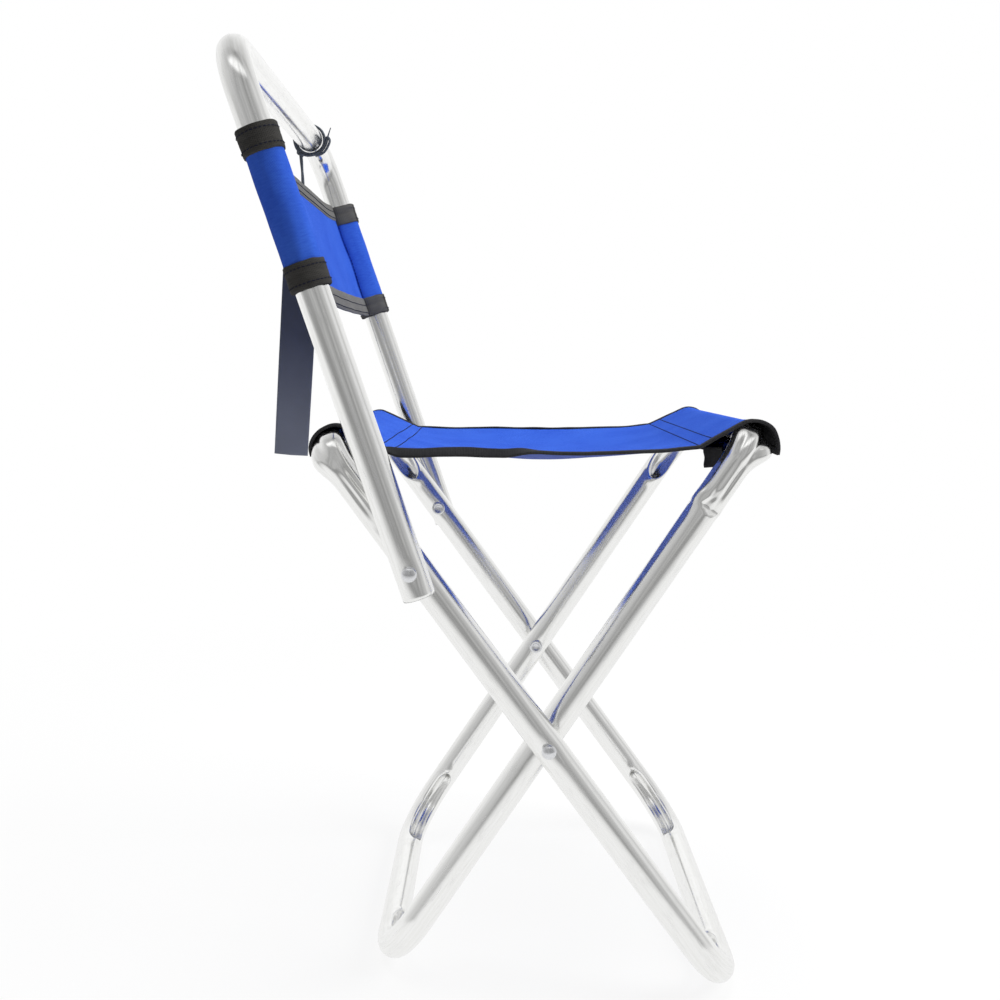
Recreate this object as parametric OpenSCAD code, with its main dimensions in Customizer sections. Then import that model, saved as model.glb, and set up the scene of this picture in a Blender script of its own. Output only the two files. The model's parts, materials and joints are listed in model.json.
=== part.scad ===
// Folding camp chair: two crossed leg frames, a folding back frame and a sewn sling.
// The sitter faces -Y. X = 0 is the middle of the chair and Z = 0 is the ground.

/* [Frame tube] */
// Outside diameter of every frame tube
tube_d = 22; // [18:1:25]
// Wall thickness of the tube
tube_wall = 1.2; // [0.9:0.1:2]
// Gap between two frames that lie side by side at a pivot
pivot_gap = 2; // [1.8:0.2:4]

/* [Leg frames] */
// Width of the inner leg frame, between its tube centre lines
inner_w = 254; // [220:2:320]
// Lean of the inner legs from upright, in degrees
inner_lean = 32.5; // [30:0.5:35]
// Lean of the outer legs from upright, in degrees
outer_lean = 37; // [35:0.5:39]
// Height of the leg crossing above the ground
crossing_h = 187; // [175:1:200]
// Length of the inner legs from the crossing up to the front seat bar
inner_up = 250; // [240:1:260]
// Length of the outer legs from the crossing up to the rear seat bar
outer_up = 252; // [245:1:265]
// Corner radius of the leg frames, to the centre line
leg_bend_r = 45; // [35:1:55]

/* [Back frame] */
// Distance from the leg crossing up the outer legs to the back's pivots
back_pivot_up = 156; // [145:1:165]
// Lean of the back from upright, in degrees
back_lean = 19.6; // [15:0.2:24]
// Length from the back's pivots to its top bar
back_len = 350; // [335:1:370]
// Length of tube below the back's pivots, down to the cut end
back_tail = 18; // [14:1:24]
// Corner radius of the back frame, to the centre line
back_bend_r = 35; // [30:1:45]

/* [Rivets] */
// Diameter of the rivet shank
rivet_d = 7; // [5:0.5:8]
// Wall of the shank round the hollow in its rolled end
shank_wall = 0.7; // [0.5:0.1:1]
// Radial clearance of the shank in the tubes and washers
rivet_clear = 0.05; // [0.02:0.01:0.1]
// Diameter of the domed head
dome_d = 10.4; // [9:0.2:13]
// Height of the domed head
dome_h = 4; // [3:0.2:5]
// Diameter of the rolled end
roll_d = 12; // [10:0.5:14]
// Thickness of the rolled end
roll_t = 1.4; // [1:0.1:1.6]
// Depth of the hollow in the rolled end
hollow_depth = 5; // [3:0.5:8]
// Outside diameter of the washers between the frames
washer_d = 15; // [12:0.5:18]
// Play at each face of a washer and under each rivet end
pivot_play = 0.15; // [0.1:0.05:0.3]

/* [Seat] */
// Thickness of the sewn cloth
cloth_t = 1; // [0.8:0.1:1.5]
// Room between a tube and the cloth or cord round it
sleeve_room = 0.3; // [0.2:0.1:0.5]
// Distance that the seat reaches past the inner legs' centre lines, at the front bar
seat_front_past = 3; // [0:0.5:6]
// Distance from the seat's edges out to the outer legs' centre lines, at the rear bar
seat_rear_inside = 4; // [1:0.5:9]
// Distance from each bar to the seam that closes its sleeve
seam_back = 36; // [30:1:45]
// Drop of those seams below the line between the two bars
seam_drop = 2; // [0:0.5:6]
// Sag of the seat between its seams
seat_sag = 5; // [2:0.5:10]
// Width of the black edge tape
tape_w = 7; // [5:1:10]
// Thickness of the black edge tape, folded round the cloth
tape_t = 2; // [1.6:0.1:3]
// Gap between a panel or its edge tape and the sleeves
cloth_gap = 0.3; // [0.2:0.1:0.5]

/* [Back panel] */
// Distance from the top bar down to the upper edge of the back panel
panel_drop = 56; // [48:1:60]
// Height of the back panel along the frame
panel_h = 104; // [90:1:115]
// Width of the black band at each sleeve end
band_w = 17; // [12:1:22]
// Width of the grey webbing along the panel's two long edges
webbing_w = 12; // [8:1:16]
// Thickness of the webbing
webbing_t = 2; // [1.6:0.1:2.6]

/* [Hang tag] */
// Width of the card
tag_w = 32; // [25:1:40]
// Length of the card
tag_len = 185; // [150:1:190]
// Thickness of the card
tag_t = 0.8; // [0.5:0.1:1.2]
// Diameter of the cord hole in the card
tag_hole_d = 5; // [4:0.5:7]
// Distance from the card's upper edge to the middle of the hole
tag_hole_edge = 8; // [6:0.5:12]
// Tilt of the card as it hangs, in degrees
tag_tilt = 3.1; // [0:0.1:4]
// Distance from the back tube's centre line in to the cord's loop on the top bar
tie_inside = 49; // [47:0.5:51]
// Diameter of the cord
cord_d = 2.6; // [2:0.2:3.4]
// Diameter of the cord's knot
knot_d = 7; // [6:0.5:9]

/* [Hidden] */
$fn = 48;

tube_r = tube_d / 2;
bore_d = tube_d - 2 * tube_wall;
frame_pitch = tube_d + pivot_gap;
outer_w = inner_w + 2 * frame_pitch;
back_w = outer_w + 2 * frame_pitch;
inner_down = (crossing_h - tube_r) / cos(inner_lean);
outer_down = (crossing_h - tube_r) / cos(outer_lean);
sleeve_in_r = tube_r + sleeve_room;
sleeve_r = sleeve_in_r + cloth_t;
hole_r = rivet_d / 2 + rivet_clear;
// Depth by which each cut runs past its solid
cut = 1;

function unit(v) = v / norm(v);

// Side view, measured from the leg crossing: y to the rear, z up
front_bar = [-inner_up * sin(inner_lean), inner_up * cos(inner_lean)];
rear_bar = [outer_up * sin(outer_lean), outer_up * cos(outer_lean)];
back_pivot = [back_pivot_up * sin(outer_lean), back_pivot_up * cos(outer_lean)];
top_bar = back_pivot + back_len * [sin(back_lean), cos(back_lean)];
// The origin lies under the middle of the chair's depth
crossing_y = -(front_bar[0] - sleeve_r + top_bar[0] + tube_r) / 2;

// Seat cloth, along and across the line between the two bars: it leaves each sleeve on a tangent
seat_chord = norm(rear_bar - front_bar);
seat_tilt = atan2(rear_bar[1] - front_bar[1], rear_bar[0] - front_bar[0]);
wrap_r = sleeve_r + cloth_gap + tape_t / 2;
seam = [seam_back, -seam_drop];
leave_angle = acos(wrap_r / norm(seam)) - atan2(seam_drop, seam_back);
leave = wrap_r * [cos(leave_angle), sin(leave_angle)];
seat_profile = [leave, seam, [seat_chord / 2, -seam_drop - seat_sag],
                [seat_chord - seam[0], seam[1]], [seat_chord - leave[0], leave[1]]];
// Lower edge of the back panel, measured up from the back's pivots
panel_low = back_len - panel_drop - panel_h;

// Half widths at the front and the rear bar: of the whole seat, and of its cloth inside the edge tapes
seat_edge = [inner_w / 2 + seat_front_past, outer_w / 2 - seat_rear_inside];
cloth_edge = seat_edge - [tape_w, tape_w];

// Cord route from the knot to the card's hole, measured from the top bar's centre at the tie
cord_route = [[0, 8.5, -12.3], [1.2, 7.8, -21], [3.5, 7.2, -36], [6.5, 7.6, -52],
              [10, 8.8, -70], [13.5, 10.2, -88], [17, 11.6, -106]];
cord_sides = 8;
// The card's hole lies round the cord's lower end, and the knot rests against the bar
tag_hang = cord_route[len(cord_route) - 1];
knot_place = (tube_r + sleeve_room + knot_d / 2) * unit(cord_route[0]);

// Places a part in a frame whose Z axis runs up a leg that leans back by the given angle
module at_lean(place, lean) {
    translate([0, crossing_y + place[0], crossing_h + place[1]]) rotate([-lean, 0, 0]) children();
}

module inner_place() {
    at_lean([0, 0], -inner_lean) children();
}

module outer_place() {
    at_lean([0, 0], outer_lean) children();
}

module back_place() {
    at_lean(back_pivot, back_lean) children();
}

module both_sides() {
    children();
    mirror([1, 0, 0]) children();
}

module x_bar(d, len) {
    rotate([0, 90, 0]) cylinder(d = d, h = len, center = true);
}

// Quarter bend from a leg at +X up into a bar at +Z
module bend(d, r) {
    rotate([90, 0, 0]) rotate_extrude(angle = 90) translate([r, 0]) circle(d = d);
}

// Quarter of a loop: half of its end bar, one corner, and the leg back to z = 0
module quarter_loop(w, up, r, d) {
    translate([0, 0, up]) rotate([0, 90, 0]) cylinder(d = d, h = w / 2 - r);
    translate([w / 2 - r, 0, up - r]) bend(d, r);
    translate([w / 2, 0, 0]) cylinder(d = d, h = up - r);
}

// Round bar bent into a closed loop
module loop_bar(w, up, down, r, d) {
    both_sides() {
        quarter_loop(w, up, r, d);
        mirror([0, 0, 1]) quarter_loop(w, down, r, d);
    }
}

// Round bar bent into a hoop that is open at the bottom
module hoop_bar(w, up, tail, r, d) {
    both_sides() {
        quarter_loop(w, up, r, d);
        translate([w / 2, 0, -tail]) cylinder(d = d, h = tail);
    }
}

// Bore across both legs of a frame
module pivot_bore(w, z) {
    translate([0, 0, z]) x_bar(2 * hole_r, w + tube_d + 2 * cut);
}

module inner_leg_frame() {
    color("silver") inner_place() difference() {
        loop_bar(inner_w, inner_up, inner_down, leg_bend_r, tube_d);
        loop_bar(inner_w, inner_up, inner_down, leg_bend_r, bore_d);
        pivot_bore(inner_w, 0);
    }
}

module outer_leg_frame() {
    color("silver") outer_place() difference() {
        loop_bar(outer_w, outer_up, outer_down, leg_bend_r, tube_d);
        loop_bar(outer_w, outer_up, outer_down, leg_bend_r, bore_d);
        pivot_bore(outer_w, 0);
        pivot_bore(outer_w, back_pivot_up);
    }
}

module back_frame() {
    color("silver") back_place() difference() {
        hoop_bar(back_w, back_len, back_tail, back_bend_r, tube_d);
        hoop_bar(back_w, back_len, back_tail + cut, back_bend_r, bore_d);
        pivot_bore(back_w, 0);
    }
}

// Semi-tubular rivet along +X, with its rolled end at the inner tube and its dome outside
module rivet(inner_tube_w, outer_tube_w) {
    roll_x = inner_tube_w / 2 - tube_r - pivot_play;
    dome_x = outer_tube_w / 2 + tube_r + pivot_play;
    dome_r = (pow(dome_d / 2, 2) + pow(dome_h, 2)) / (2 * dome_h);
    color("gainsboro") rotate([0, 90, 0]) {
        translate([0, 0, roll_x - roll_t / 2]) difference() {
            union() {
                cylinder(d = rivet_d, h = dome_x - roll_x + roll_t / 2);
                rolled_end();
            }
            translate([0, 0, -roll_t / 2 - cut])
                cylinder(d = rivet_d - 2 * shank_wall, h = hollow_depth + roll_t + cut);
        }
        intersection() {
            translate([0, 0, dome_x + dome_h - dome_r]) sphere(r = dome_r);
            translate([0, 0, dome_x]) cylinder(d = dome_d + cut, h = dome_h + cut);
        }
    }
}

// Metal rolled outward into a flat ring with a round edge
module rolled_end() {
    inner_r = rivet_d / 2;
    rotate_extrude() {
        translate([inner_r - roll_t / 2, -roll_t / 2]) square([roll_d / 2 - inner_r, roll_t]);
        translate([roll_d / 2 - roll_t / 2, 0]) circle(d = roll_t);
    }
}

// Washer on a pivot, between the frame whose legs are w apart and the next one out
module washer(w) {
    color("dimgray") translate([w / 2 + tube_r + pivot_play, 0, 0]) rotate([0, 90, 0]) difference() {
        cylinder(d = washer_d, h = pivot_gap - 2 * pivot_play);
        translate([0, 0, -cut]) cylinder(r = hole_r, h = pivot_gap + 2 * cut);
    }
}

module at_back_pivot() {
    outer_place() translate([0, 0, back_pivot_up]) children();
}

module crossing_rivet() {
    outer_place() rivet(inner_w, outer_w);
}

module back_rivet() {
    at_back_pivot() rivet(outer_w, back_w);
}

module crossing_washer() {
    outer_place() washer(inner_w);
}

module back_washer() {
    at_back_pivot() washer(outer_w);
}

// Cloth round a bar: a full sleeve on the straight bar, and a hood over each corner
module bar_sleeve(straight_half, hood_half) {
    difference() {
        x_bar(2 * sleeve_r, 2 * straight_half);
        x_bar(2 * sleeve_in_r, 2 * straight_half + 2 * cut);
    }
    both_sides() sleeve_hood(straight_half, hood_half);
}

// Half sleeve on the side away from the legs, from one place along the bar to the next
module sleeve_hood(from, to) {
    translate([from, 0, 0]) rotate([90, 0, 90]) linear_extrude(to - from) difference() {
        circle(r = sleeve_r);
        circle(r = sleeve_in_r);
        translate([-sleeve_r - cut, -sleeve_r - cut]) square([2 * (sleeve_r + cut), sleeve_r + cut]);
    }
}

module seat_front_sleeve() {
    color("royalblue") inner_place() translate([0, 0, inner_up])
        bar_sleeve(inner_w / 2 - leg_bend_r, cloth_edge[0]);
}

module seat_rear_sleeve() {
    color("royalblue") outer_place() translate([0, 0, outer_up])
        bar_sleeve(outer_w / 2 - leg_bend_r, cloth_edge[1]);
}

module seat_front_sleeve_tapes() {
    color("black") inner_place() translate([0, 0, inner_up])
        both_sides() sleeve_hood(cloth_edge[0], seat_edge[0]);
}

module seat_rear_sleeve_tapes() {
    color("black") outer_place() translate([0, 0, outer_up])
        both_sides() sleeve_hood(cloth_edge[1], seat_edge[1]);
}

// Seat slab of the given thickness, from sleeve to sleeve
module seat_slab(t) {
    half = seat_edge[1] + cut;
    upper = [for (p = seat_profile) p + [0, t / 2]];
    lower = [for (i = [len(seat_profile) - 1 : -1 : 0]) seat_profile[i] - [0, t / 2]];
    translate([-half, crossing_y + front_bar[0], crossing_h + front_bar[1]])
        rotate([seat_tilt, 0, 0]) rotate([90, 0, 90]) linear_extrude(2 * half)
            polygon(concat(upper, lower));
}

// Strip of the seat between two lines, each given by its x at the front bar and at the rear bar
module seat_strip(left, right, t) {
    front = crossing_y + front_bar[0];
    rear = crossing_y + rear_bar[0];
    // The outline runs past both bars by this share of the seat's depth
    past = 0.1;
    past_y = past * (rear - front);
    past_x = past * [left[1] - left[0], right[1] - right[0]];
    intersection() {
        seat_slab(t);
        linear_extrude(crossing_h + inner_up + outer_up) polygon([
            [left[0] - past_x[0], front - past_y], [right[0] - past_x[1], front - past_y],
            [right[1] + past_x[1], rear + past_y], [left[1] + past_x[0], rear + past_y]]);
    }
}

module seat_panel() {
    color("royalblue") seat_strip(-cloth_edge, cloth_edge, cloth_t);
}

module seat_edge_tape() {
    color("black") seat_strip(cloth_edge, seat_edge, tape_t);
}

// Cloth round a back tube, between two places along it
module back_sleeve_length(from, to) {
    translate([back_w / 2, 0, from]) difference() {
        cylinder(r = sleeve_r, h = to - from);
        translate([0, 0, -cut]) cylinder(r = sleeve_in_r, h = to - from + 2 * cut);
    }
}

module back_sleeve() {
    color("royalblue") back_place() back_sleeve_length(panel_low + band_w, panel_low + panel_h - band_w);
}

module back_sleeve_bands() {
    color("black") back_place() {
        back_sleeve_length(panel_low, panel_low + band_w);
        back_sleeve_length(panel_low + panel_h - band_w, panel_low + panel_h);
    }
}

// Flat strip across the back, between the two side sleeves
module back_strip(from, to, t) {
    half = back_w / 2 - sleeve_r - cloth_gap;
    back_place() translate([-half, -t / 2, from]) cube([2 * half, t, to - from]);
}

module back_panel() {
    color("royalblue") back_strip(panel_low + webbing_w, panel_low + panel_h - webbing_w, cloth_t);
}

module back_top_webbing() {
    color("dimgray") back_strip(panel_low + panel_h - webbing_w, panel_low + panel_h, webbing_t);
}

module back_bottom_webbing() {
    color("dimgray") back_strip(panel_low, panel_low + webbing_w, webbing_t);
}

// The place on the top bar where the cord is tied
module at_tie() {
    translate([back_w / 2 - tie_inside, crossing_y + top_bar[0], crossing_h + top_bar[1]]) children();
}

module hang_tag() {
    color("darkslategray") at_tie() translate(tag_hang)
        rotate([tag_tilt, 0, 0]) rotate([90, 0, 90]) linear_extrude(tag_t, center = true)
            difference() {
                translate([-tag_w / 2, tag_hole_edge - tag_len]) square([tag_w, tag_len]);
                circle(d = tag_hole_d);
            }
}

// Direction of the route at point i
function route_dir(p, i) = unit(p[min(i + 1, len(p) - 1)] - p[max(i - 1, 0)]);

// Ring of points round route point i
function ring(p, i, d) = let (t = route_dir(p, i), u = unit(cross(t, [1, 0, 0])), v = cross(t, u))
    [for (k = [0 : cord_sides - 1]) let (a = 360 * k / cord_sides)
        p[i] + d / 2 * (cos(a) * u + sin(a) * v)];

// Tube swept along a route
module swept_cord(p, d) {
    n = len(p);
    points = [for (i = [0 : n - 1]) each ring(p, i, d)];
    walls = [for (i = [0 : n - 2]) for (k = [0 : cord_sides - 1]) let (m = (k + 1) % cord_sides)
        [i * cord_sides + k, (i + 1) * cord_sides + k, (i + 1) * cord_sides + m, i * cord_sides + m]];
    start_cap = [[for (k = [0 : cord_sides - 1]) k]];
    end_cap = [[for (k = [cord_sides - 1 : -1 : 0]) (n - 1) * cord_sides + k]];
    polyhedron(points, concat(walls, start_cap, end_cap));
}

module tag_cord() {
    color("black") at_tie() swept_cord(cord_route, cord_d);
}

module tag_cord_loop() {
    color("black") at_tie() rotate([0, 90, 0]) rotate_extrude()
         translate([sleeve_in_r + cord_d / 2, 0]) circle(d = cord_d);
}

module tag_cord_knot() {
    color("black") at_tie() translate(knot_place) sphere(d = knot_d);
}

inner_leg_frame();
outer_leg_frame();
back_frame();
mirror([1, 0, 0]) crossing_rivet();  // crossing_rivet_left
crossing_rivet();  // crossing_rivet_right
mirror([1, 0, 0]) back_rivet();  // back_rivet_left
back_rivet();  // back_rivet_right
mirror([1, 0, 0]) crossing_washer();  // crossing_washer_left
crossing_washer();  // crossing_washer_right
mirror([1, 0, 0]) back_washer();  // back_washer_left
back_washer();  // back_washer_right
seat_panel();
mirror([1, 0, 0]) seat_edge_tape();  // seat_edge_tape_left
seat_edge_tape();  // seat_edge_tape_right
seat_front_sleeve();
seat_rear_sleeve();
seat_front_sleeve_tapes();
seat_rear_sleeve_tapes();
back_panel();
mirror([1, 0, 0]) back_sleeve();  // back_sleeve_left
back_sleeve();  // back_sleeve_right
mirror([1, 0, 0]) back_sleeve_bands();  // back_sleeve_bands_left
back_sleeve_bands();  // back_sleeve_bands_right
back_top_webbing();
back_bottom_webbing();
hang_tag();
tag_cord();
tag_cord_loop();
tag_cord_knot();
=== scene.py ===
import json
import math

import bmesh
import bpy
import numpy as np
from mathutils import Matrix, Vector, noise


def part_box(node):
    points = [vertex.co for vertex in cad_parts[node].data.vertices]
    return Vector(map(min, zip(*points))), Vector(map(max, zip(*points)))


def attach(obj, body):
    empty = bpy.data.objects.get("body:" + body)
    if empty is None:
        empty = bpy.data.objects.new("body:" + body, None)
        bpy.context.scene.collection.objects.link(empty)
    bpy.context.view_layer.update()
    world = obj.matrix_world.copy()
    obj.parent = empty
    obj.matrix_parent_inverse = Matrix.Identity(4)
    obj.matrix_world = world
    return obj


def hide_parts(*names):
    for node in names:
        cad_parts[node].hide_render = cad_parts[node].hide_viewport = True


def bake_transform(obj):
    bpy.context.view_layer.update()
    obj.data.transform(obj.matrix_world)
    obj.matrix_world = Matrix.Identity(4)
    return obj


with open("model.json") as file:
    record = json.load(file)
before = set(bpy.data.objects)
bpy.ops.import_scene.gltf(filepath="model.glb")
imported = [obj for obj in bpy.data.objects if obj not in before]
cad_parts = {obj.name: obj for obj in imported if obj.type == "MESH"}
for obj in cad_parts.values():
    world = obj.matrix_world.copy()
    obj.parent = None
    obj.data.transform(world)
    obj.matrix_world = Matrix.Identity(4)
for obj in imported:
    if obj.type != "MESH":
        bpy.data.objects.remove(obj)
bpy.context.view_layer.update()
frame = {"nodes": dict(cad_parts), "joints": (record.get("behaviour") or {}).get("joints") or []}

MM = 0.001
EX = np.array([1.0, 0.0, 0.0])
SIDES = (("left", -1), ("right", 1))
TUBE_R = 11 * MM
LEG_BEND = 45 * MM
CRUSHED_BEND = 15 * MM  # the photograph's near top bends are crushed to a tighter corner
BACK_BEND = 35 * MM
GROOVE_DEEP = 9.5 * MM
TUBE_SIDES = 64
CLOTH_T = 0.9 * MM


# -------- places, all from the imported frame
def corner(node):
    return [np.array(c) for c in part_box(node)]


def joint(name):
    return next(j for j in frame["joints"] if j["name"] == name)


INNER_LO, INNER_HI = corner("inner_leg_frame")
OUTER_LO, OUTER_HI = corner("outer_leg_frame")
BACK_LO, BACK_HI = corner("back_frame")
CROSSING = np.array(joint("scissor_fold")["pos_m"])
PIVOT = np.array(joint("back_fold")["pos_m"])
FRONT_BAR = np.array([0, INNER_LO[1] + TUBE_R, INNER_HI[2] - TUBE_R])
REAR_FOOT = np.array([0, INNER_HI[1] - TUBE_R, TUBE_R])
REAR_BAR = np.array([0, OUTER_HI[1] - TUBE_R, OUTER_HI[2] - TUBE_R])
FRONT_FOOT = np.array([0, OUTER_LO[1] + TUBE_R, TUBE_R])
TOP_BAR = np.array([0, BACK_HI[1] - TUBE_R, BACK_HI[2] - TUBE_R])
INNER_X = INNER_HI[0] - TUBE_R
OUTER_X = OUTER_HI[0] - TUBE_R
BACK_X = BACK_HI[0] - TUBE_R


# -------- small sums
def unit(v):
    v = np.asarray(v, float)
    return v / np.linalg.norm(v)


BACK_UP = unit(TOP_BAR - PIVOT)
BACK_N = np.cross(EX, BACK_UP)  # towards the sitter's front


def wander(x, y, z):
    return noise.noise(Vector((x, y, z)))


def ease(a, b, x):
    t = np.clip((x - a) / (b - a), 0, 1)
    return t * t * (3 - 2 * t)


def ring_angles(count):
    return np.linspace(0, 2 * np.pi, count, endpoint=False)


RING = ring_angles(TUBE_SIDES)


def wrapped(a):
    """Size of the angle a, taken the short way round."""
    return np.abs((a + np.pi) % (2 * np.pi) - np.pi)


def lengths_along(points):
    steps = np.linalg.norm(np.diff(points, axis=0), axis=1)
    return np.concatenate([[0], np.cumsum(steps)])


def at_length(points, s, where):
    """The points' line at the distances where, given each point's own distance s."""
    return np.stack([np.interp(where, s, points[:, k]) for k in range(points.shape[1])], axis=-1)


def tangents(points):
    t = np.gradient(points, axis=0)
    return t / np.linalg.norm(t, axis=1)[:, None]


def flat_outline(width, thick, count, side, face):
    """A rounded flat outline; smaller powers make its sides and faces squarer."""
    c, s = np.cos(ring_angles(count)), np.sin(ring_angles(count))
    return np.stack([width / 2 * np.sign(c) * np.abs(c) ** side,
                     thick / 2 * np.sign(s) * np.abs(s) ** face], axis=1)


def in_scene(name, data):
    obj = bpy.data.objects.new(name, data)
    bpy.context.scene.collection.objects.link(obj)
    return obj


# -------- the camera, as the photograph was taken
def add_camera():
    yaw, pitch, roll = (math.radians(a) for a in (-0.08, 7.03, 1.17))
    turns = ((yaw - math.pi / 2, "Z"), (math.pi / 2 - pitch, "X"), (roll, "Z"))
    data = bpy.data.cameras.new("camera")
    data.sensor_width = 36
    data.lens = 39.06
    data.clip_start = 0.02
    camera = in_scene("camera", data)
    place = Matrix.Translation((-0.8693, -0.00023, 0.4451))
    for angle, axis in turns:
        place = place @ Matrix.Rotation(angle, 4, axis)
    camera.matrix_world = place
    bpy.context.scene.camera = camera


add_camera()


# -------- materials
def srgb(r, g, b):
    return tuple(
        ((c / 255 + 0.055) / 1.055) ** 2.4 if c > 10 else c / 255 / 12.92 for c in (r, g, b)
    ) + (1.0,)


class Tree:
    """Short calls that add and link shader nodes."""

    def __init__(self, tree):
        self.tree = tree

    def add(self, kind, inputs=(), **settings):
        node = self.tree.nodes.new(kind)
        for k, v in settings.items():
            setattr(node, k, v)
        for k, v in dict(inputs).items():
            self.set(node.inputs[k], v)
        return node

    def set(self, socket, value):
        if isinstance(value, bpy.types.NodeSocket):
            self.tree.links.new(value, socket)
        else:
            socket.default_value = value

    def coordinates(self, kind):
        return self.add("ShaderNodeTexCoord").outputs[kind]

    def part(self, vector, axis):
        return self.add("ShaderNodeSeparateXYZ", {0: vector}).outputs[axis]

    def run(self):
        return self.add("ShaderNodeAttribute", attribute_name="run").outputs["Vector"]

    def noise(self, vector, scale, detail=2.0, rough=0.5):
        """Noise at so many cells a metre; three scales stretch it along each axis."""
        if isinstance(scale, tuple):
            vector = self.add("ShaderNodeVectorMath", {0: vector, 1: scale},
                              operation="MULTIPLY").outputs[0]
            scale = 1.0
        node = self.add("ShaderNodeTexNoise",
                        {"Vector": vector, "Scale": scale, "Detail": detail, "Roughness": rough})
        return node.outputs["Fac"]

    def math(self, kind, a, b=0.0):
        return self.add("ShaderNodeMath", {0: a, 1: b}, operation=kind).outputs[0]

    def plus(self, a, b):
        return self.math("ADD", a, b)

    def times(self, a, b):
        return self.math("MULTIPLY", a, b)

    def span(self, value, low, high, out_low=0.0, out_high=1.0):
        return self.add("ShaderNodeMapRange", {"Value": value, "From Min": low, "From Max": high,
                                               "To Min": out_low, "To Max": out_high}).outputs[0]

    def mix(self, fac, a, b):
        node = self.add("ShaderNodeMix", {"Factor": fac, "A": a, "B": b}, data_type="RGBA")
        return node.outputs["Result"]

    def bump(self, height, distance, **more):
        node = self.add("ShaderNodeBump", {"Height": height, "Distance": distance, **more})
        return node.outputs["Normal"]


class Nodes(Tree):
    """A new material's node tree."""

    def __init__(self, name):
        self.material = bpy.data.materials.new(name)
        self.material.use_nodes = True
        super().__init__(self.material.node_tree)
        self.shader = self.tree.nodes["Principled BSDF"]

    def finish(self, **sockets):
        for k, v in sockets.items():
            self.set(self.shader.inputs[k.replace("_", " ")], v)
        return self.material


def aluminium(name, line_depth, rough):
    """Drawn and polished aluminium: fine lines along the tube, long soft waves, faint scuffs."""
    n = Nodes(name)
    run = n.run()
    lines = n.noise(run, (8, 700, 700))
    waves = n.noise(run, (9, 150, 150))
    scuffs = n.noise(run, (70, 420, 420), 4.0, 0.65)
    worn = n.span(scuffs, 0.5, 0.72)
    tone = n.mix(n.span(lines, 0.35, 0.65), srgb(246, 246, 244), srgb(251, 251, 250))
    tone = n.mix(n.times(worn, 0.2), tone, srgb(222, 222, 220))
    roughness = n.plus(n.span(lines, 0.3, 0.7, rough - 0.04, rough + 0.05), n.times(worn, 0.12))
    normal = n.bump(lines, line_depth, Normal=n.bump(waves, 0.05 * MM, Strength=0.6))
    return n.finish(Metallic=1.0, Base_Color=tone, Roughness=roughness, Normal=normal)


def plain_metal(name, tone, rough):
    n = Nodes(name)
    place = n.coordinates("Object")
    marks = n.noise(place, 900.0, 3.0)
    pits = n.noise(place, 260.0, 2.0)
    colour = n.mix(n.span(marks, 0.35, 0.7), tone, srgb(236, 237, 240))
    return n.finish(
        Metallic=1.0, Base_Color=colour, Roughness=n.span(pits, 0.3, 0.7, rough, rough + 0.14),
        Normal=n.bump(marks, 0.03 * MM),
    )


def woven(name, dark, light, warp, weft, depth, rough=0.85, sheen=0.0):
    """Plain-weave cloth: run.x and run.y are metres along the two thread directions.
    warp and weft are the threads' spacing in mm, and depth the weave's height in mm."""
    n = Nodes(name)
    run = n.run()
    a = n.times(n.part(run, "X"), math.pi / (warp * MM))
    b = n.times(n.part(run, "Y"), math.pi / (weft * MM))
    over = n.times(n.math("SINE", a), n.math("SINE", b))
    across = n.math("ABSOLUTE", n.math("COSINE", a))
    along = n.math("ABSOLUTE", n.math("COSINE", b))
    ribs = n.plus(n.times(across, 0.5), n.times(along, 0.5))
    height = n.plus(n.times(over, 0.35), ribs)
    slubs = n.noise(run, (180, 900, 1), 3.0)
    patches = n.noise(run, 26.0, 3.0)
    shade = n.plus(n.times(height, 0.55), n.times(slubs, 0.5))
    mottle = n.times(n.math("SUBTRACT", patches, 0.5), 0.5)
    colour = n.mix(n.span(n.plus(shade, mottle), 0.15, 1.25), srgb(*dark), srgb(*light))
    fuzz = n.noise(run, (1500, 1500, 1))
    normal = n.bump(n.plus(height, n.times(fuzz, 0.4)), depth * MM)
    return n.finish(
        Base_Color=colour, Roughness=n.span(fuzz, 0.3, 0.7, rough - 0.06, rough + 0.08),
        Normal=normal, Sheen_Weight=sheen, Sheen_Roughness=0.4, Specular_IOR_Level=0.12,
    )


def card_paper(name):
    """Slate-coloured card, painted paler towards its lower end: a painted sheen of light."""
    n = Nodes(name)
    place = n.coordinates("Object")
    fibre = n.noise(place, (400, 400, 1500), 4.0)
    cloud = n.noise(place, 22.0, 2.0)
    tone = n.mix(n.span(cloud, 0.35, 0.65), srgb(51, 57, 76), srgb(64, 70, 91))
    # the lower end is painted paler: a painted sheen of light
    height = n.part(n.coordinates("Generated"), "Z")
    tone = n.mix(n.span(height, 0.6, 0.0, 0.0, 0.75), tone, srgb(122, 127, 144))
    return n.finish(Base_Color=tone, Roughness=n.span(fibre, 0.3, 0.7, 0.42, 0.55),
                    Normal=n.bump(fibre, 0.02 * MM), Specular_IOR_Level=0.45)


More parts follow.
